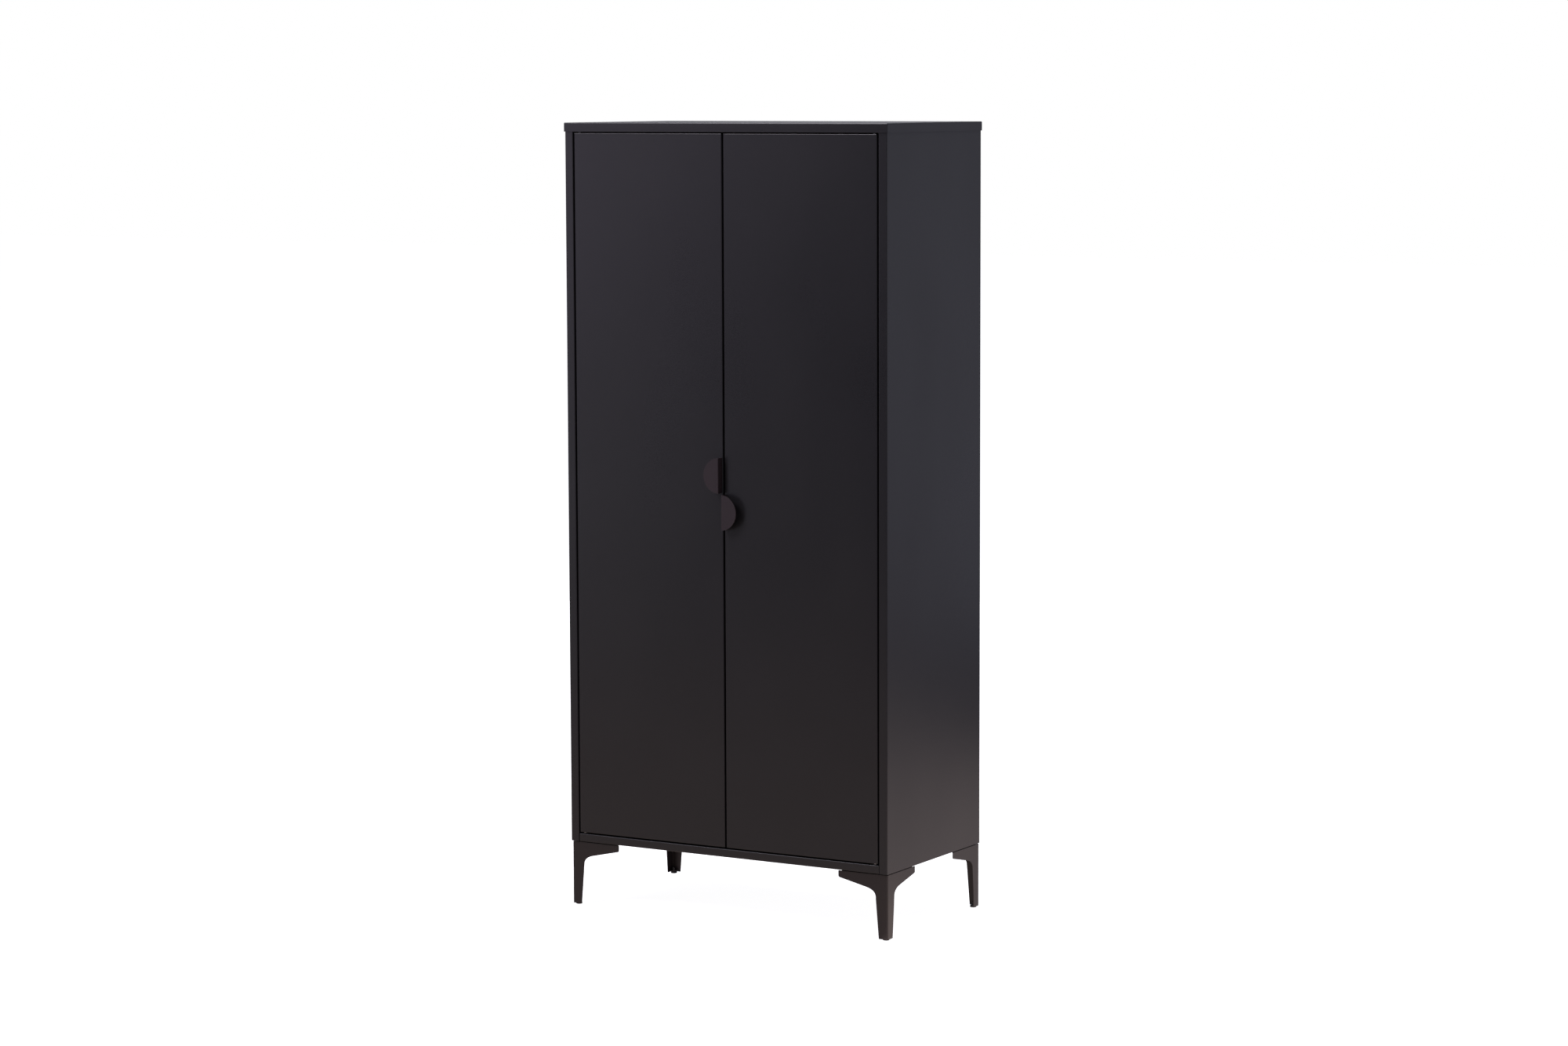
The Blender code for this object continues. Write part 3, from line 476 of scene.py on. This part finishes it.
def screw(name, out, head, height, shank, length, socket, depth):
    """A round-headed screw, its head facing out, with a recess for the driver."""
    profile = [(POINT_WIDTH * shank, -length), (ROOT_WIDTH * shank, SCREW_CHAMFER - length)]
    for i in reversed(range(int((length - SCREW_POINT) / THREAD_PITCH))):
        turn = -THREAD_PITCH * i
        profile += [(ROOT_WIDTH * shank, turn - THREAD_ROOT), (shank, turn - THREAD_CREST)]
    profile += [(shank, 0), (head, 0)]
    for a in DOME_ANGLES:
        profile.append((head * cos(a) ** DOME_FULLNESS, height * (DOME_RIM + (1 - DOME_RIM) * sin(a))))
    profile += [(socket, height), (socket, height - depth)]
    source = turn_to(turned(profile, steps=48), out, end_point(name, out) - height * Vector(out))
    soften(add_piece("fine_" + name, source, name), 0.00010, angle=50)


def sheet_metal(piece, thickness, bend):
    """Rounds the folds, gives the surface its thickness inwards, and rounds the cut edges."""
    fold = piece.modifiers.new("folds", "BEVEL")
    fold.width = bend
    fold.segments = 8
    fold.limit_method = "ANGLE"
    fold.angle_limit = radians(50)
    shell = piece.modifiers.new("thickness", "SOLIDIFY")
    shell.thickness = thickness
    shell.offset = -1
    shell.use_even_offset = True
    soften(piece, PLATE_EDGE, segments=3, angle=50)


def half_disc(name, side):
    """A pull bent from one plate: a half disc, a web back to the door and a fixing flange."""
    low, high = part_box(name)
    outer = high.x if side > 0 else -low.x
    radius, middle = outer - PULL_CENTRE, (low.z + high.z) / 2
    start = -pi / 2 + (PULL_EDGE - PULL_CENTRE) / radius
    flat = bmesh.new()
    rim = []
    for i in range(PULL_STEPS + 1):
        angle = start - 2 * start * i / PULL_STEPS
        rim.append(flat.verts.new((PULL_CENTRE + radius * cos(angle), low.y, middle + radius * sin(angle))))
    rim[0].co.x = rim[-1].co.x = PULL_EDGE
    flat.faces.new(rim)
    corners = [rim[0], rim[-1]]
    for move in ((0, high.y - low.y, 0), (PULL_FLANGE, 0, 0)):
        edge = [e for e in flat.edges if set(e.verts) == set(corners)]
        corners = corners_of(bmesh.ops.extrude_edge_only(flat, edges=edge))
        bmesh.ops.translate(flat, verts=corners, vec=move)
    for corner in corners:
        corner.co.z = middle + (PULL_FLANGE_END if corner.co.z > middle else -PULL_FLANGE_END)
    bmesh.ops.recalc_face_normals(flat, faces=flat.faces)
    if flat.faces[0].normal.y > 0:
        bmesh.ops.reverse_faces(flat, faces=flat.faces)
    if side < 0:
        bmesh.ops.scale(flat, verts=flat.verts, vec=(-1, 1, 1))
        bmesh.ops.reverse_faces(flat, faces=flat.faces)
    return flat


def curve(start, corner, end, steps):
    """Points along a smooth curve from start to end, which heads for corner at both."""
    for i in range(steps + 1):
        t = i / steps
        yield tuple((1 - t) ** 2 * a + 2 * t * (1 - t) * b + t**2 * c for a, b, c in zip(start, corner, end))


def wing_outline(base, top):
    """One wing of a leg, as (distance from the leg's corner, height)."""
    tip, low, r = WING_LENGTH, top - WING_TIP, WING_TIP_RADIUS
    sweep, corner, neck = ((along, top - drop) for along, drop in WING_CURVE)
    slope = (low - sweep[1]) / (tip - sweep[0])
    points = [(0, base), (0, top)]
    points += curve((tip - WING_TIP_CORNER, top), (tip, top), (tip, top - WING_TIP_CORNER), steps=6)
    points += curve((tip, low + r), (tip, low), (tip - r, low - slope * r), steps=10)
    points += curve(sweep, corner, neck, steps=28)
    points.append((WING_ANKLE, base))
    return points


def leg(name, sides):
    """Two wings bent from one plate, with an L-shaped top plate and a gusset at the foot."""
    low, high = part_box(name)
    corner = Vector([high[i] if sides[i] > 0 else low[i] for i in (0, 1)] + [0])
    to_corner = Matrix.Translation(corner) @ Matrix.Diagonal((-sides[0], -sides[1], 1, 1))
    outline = wing_outline(low.z, high.z - WING_DROP)
    wings = bmesh.new()
    fold = [wings.verts.new((0, 0, z)) for _, z in outline[:2]]
    for along_x in (True, False):
        face = fold + [wings.verts.new((x, 0, z) if along_x else (0, x, z)) for x, z in outline[2:]]
        wings.faces.new(face if along_x else face[::-1])

    plates = bmesh.new()
    inner, far, wide = LEG_SHEET / 2, WING_LENGTH - PLATE_SHORT_OF_TIP, PLATE_WIDTH
    step = high.z - WING_DROP - PLATE_STEP_BELOW_WING
    lower = [(inner, inner), (far, inner), (far, wide), (wide, wide), (wide, far), (inner, far)]
    upper = [(max(x, PLATE_SETBACK), max(y, PLATE_SETBACK)) for x, y in lower]
    stack(plates, ((lower, high.z - PLATE_SHEET), (lower, step), (upper, step), (upper, high.z)))
    reach, nose = GUSSET_REACH, GUSSET_NOSE
    gusset = [(inner, inner), (reach, inner), (reach, nose), (nose, reach), (inner, reach)]
    stack(plates, [(gusset, height) for height in GUSSET_HEIGHTS])

    for source in (wings, plates):
        bmesh.ops.transform(source, verts=source.verts, matrix=to_corner)
    bmesh.ops.recalc_face_normals(plates, faces=plates.faces)
    wings.normal_update()
    wings.faces.ensure_lookup_table()
    if wings.faces[0].normal.y * sides[1] < 0:
        bmesh.ops.reverse_faces(wings, faces=wings.faces)
    sheet_metal(add_piece(name + "_wings", wings, name), LEG_SHEET, LEG_BEND)
    soften(add_piece(name + "_plates", plates, name), LEG_PLATE_EDGE, segments=3)


def magnet_catch(name):
    """A plastic case with a recess in its front that shows the magnet between two steel poles."""
    low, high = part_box(name)
    case = block(low, high)
    front = min(case.faces, key=lambda face: face.calc_center_median().y)
    bmesh.ops.inset_region(case, faces=[front], thickness=CATCH_WALL)
    inner = corners_of(bmesh.ops.extrude_face_region(case, geom=[front]))
    bmesh.ops.translate(case, verts=inner, vec=(0, CATCH_RECESS, 0))
    bmesh.ops.delete(case, geom=[front], context="FACES_ONLY")
    bmesh.ops.recalc_face_normals(case, faces=case.faces)
    soften(add_piece(name + "_case", case, name), 0.0008, segments=3)
    for label, (thickness, rise, setback, slot) in CATCH_BARS.items():
        z, y = (low.z + high.z) / 2 + rise, low.y + setback
        bar = block(Vector((low.x + CATCH_BAR_MARGIN, y, z - thickness / 2)),
                    Vector((high.x - CATCH_BAR_MARGIN, y + CATCH_BAR_DEPTH, z + thickness / 2)))
        soften(add_piece(name + "_" + label, bar, name, slot), 0.0002)


def strike_plate(name):
    """A steel plate with rounded corners and two low rivets."""
    low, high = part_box(name)
    r = STRIKE_CORNER
    face_y = high.y - RIVET_RISE
    plate = bmesh.new()
    outline = []
    for x, z, start in ((high.x - r, high.z - r, 0), (low.x + r, high.z - r, 90),
                        (low.x + r, low.z + r, 180), (high.x - r, low.z + r, 270)):
        for turn in range(0, 91, 15):
            angle = radians(start + turn)
            outline.append(plate.verts.new((x + r * cos(angle), low.y, z + r * sin(angle))))
    face = plate.faces.new(outline)
    front = corners_of(bmesh.ops.extrude_face_region(plate, geom=[face]))
    bmesh.ops.translate(plate, verts=front, vec=(0, face_y - low.y, 0))
    bmesh.ops.recalc_face_normals(plate, faces=plate.faces)
    soften(add_piece(name + "_sheet", plate, name), 0.0002)
    for label, x in (("near", low.x + RIVET_MARGIN), ("far", high.x - RIVET_MARGIN)):
        rivet = turn_to(turned(RIVET), BACKWARD, (x, face_y, (low.z + high.z) / 2))
        add_piece(name + "_rivet_" + label, rivet, name)


def build_fittings():
    for kind, sizes in SCREWS.items():
        for name in [n for n in nodes if n.startswith(kind)]:
            screw(name, *sizes)
    for side, sign in SIDES.items():
        for end, out in (("top", UP), ("bottom", DOWN)):
            fitting("pivot_pin_" + end + "_" + side, PINS[end], out, 0.00025)
            fitting("pivot_bush_" + end + "_" + side, BUSH, out, 0.0002, loop=True)
        fitting("door_buffer_" + side, BUFFER, BACKWARD, 0.0002, angle=50)
        fitting("rail_socket_" + side, SOCKET, (-sign, 0, 0), 0.0005, segments=3, steps=64)
        magnet_catch("magnet_catch_" + side)
        strike_plate("strike_plate_" + side)
    low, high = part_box("hanging_rail")
    length, radius = high.x - low.x, (high.z - low.z) / 2
    bore = radius - RAIL_WALL
    tube = [(radius, 0), (radius, length), (bore, length), (bore, 0)]
    fitting("hanging_rail", tube, RIGHT, 0.0003, steps=72, loop=True)


def build_pulls_and_legs():
    for side, sign in SIDES.items():
        name = "handle_" + side
        piece = add_piece("pull_" + side, half_disc(name, sign), name, material=PULL_PAINT)
        sheet_metal(piece, PULL_SHEET, PULL_BEND)
    for corner, sides in CORNERS.items():
        leg("leg_" + corner, sides)
        fitting("foot_glide_" + corner, GLIDE, UP, 0.0002, angle=50)


# ---- studio ----
def soft_light(name, place, towards, size, radiance):
    """A rectangular softbox that the camera doesn't see. Radiance is what its face would show."""
    lamp = bpy.data.lights.new(name, "AREA")
    lamp.shape = "RECTANGLE"
    lamp.size, lamp.size_y = size
    lamp.color = radiance
    lamp.energy = pi * size[0] * size[1]
    light = bpy.data.objects.new(name, lamp)
    light.location = place
    light.rotation_euler = (Vector(towards) - Vector(place)).to_track_quat("-Z", "Y").to_euler()
    light.visible_camera = False
    scene.collection.objects.link(light)


def light_studio():
    """A dim room that the camera sees as white, softboxes all round, and light off the floor."""
    world = bpy.data.worlds.new("studio")
    world.use_nodes = True
    tree = world.node_tree
    room = tree.nodes["Background"]
    room.inputs["Color"].default_value = (*ROOM, 1)
    backdrop = tree.nodes.new("ShaderNodeBackground")
    backdrop.inputs["Color"].default_value = (1, 1, 1, 1)
    rays = tree.nodes.new("ShaderNodeLightPath")
    both = tree.nodes.new("ShaderNodeMixShader")
    tree.links.new(rays.outputs["Is Camera Ray"], both.inputs["Fac"])
    tree.links.new(room.outputs["Background"], both.inputs[1])
    tree.links.new(backdrop.outputs["Background"], both.inputs[2])
    tree.links.new(both.outputs["Shader"], tree.nodes["World Output"].inputs["Surface"])
    scene.world = world
    scene.view_settings.view_transform = "Standard"
    for name, settings in SOFT_LIGHTS.items():
        soft_light(name, *settings)


def stage_floor():
    """A plain pale floor. Its bounce onto the wardrobe comes from the two floor lights."""
    sheet = bmesh.new()
    bmesh.ops.create_grid(sheet, x_segments=1, y_segments=1, size=FLOOR_REACH)
    mesh = bpy.data.meshes.new("floor")
    sheet.to_mesh(mesh)
    sheet.free()
    floor = bpy.data.objects.new("floor", mesh)
    scene.collection.objects.link(floor)
    floor.visible_diffuse = False
    floor.visible_glossy = False
    n = Nodes("pale_floor")
    pale = n.mix(n.spread(n.noise(scale=1.5, detail=3.0), 0.0, 1.0), (0.90, 0.90, 0.90), (0.92, 0.92, 0.92))
    n.link(pale, n.shader.inputs["Base Color"])
    n.shader.inputs["Roughness"].default_value = 0.9
    n.shader.inputs["Specular IOR Level"].default_value = 0.0
    n.shader.inputs["Emission Color"].default_value = (1, 1, 1, 1)
    n.shader.inputs["Emission Strength"].default_value = FLOOR_GLOW
    mesh.materials.append(n.material)


def place_camera():
    """A long lens, from the right of the wardrobe and a little above its top."""
    yaw, pitch, roll = radians(CAMERA_YAW), radians(CAMERA_PITCH), radians(CAMERA_ROLL)
    ahead = Vector((-sin(yaw) * cos(pitch), cos(yaw) * cos(pitch), -sin(pitch)))
    level = Vector((cos(yaw), sin(yaw), 0))
    up = level.cross(ahead)
    right = cos(roll) * level + sin(roll) * up
    up = cos(roll) * up - sin(roll) * level
    turn = Matrix((right, up, -ahead)).transposed().to_4x4()
    lens = bpy.data.cameras.new("photo_view")
    lens.sensor_width = CAMERA_SENSOR
    lens.lens = CAMERA_LENS
    camera = bpy.data.objects.new("photo_view", lens)
    camera.matrix_world = Matrix.Translation(CAMERA_PLACE) @ turn
    scene.collection.objects.link(camera)
    scene.camera = camera


build_fittings()
build_pulls_and_legs()
for name in sorted(set(nodes) - replaced):
    carry(name)

stage_floor()
light_studio()
place_camera()
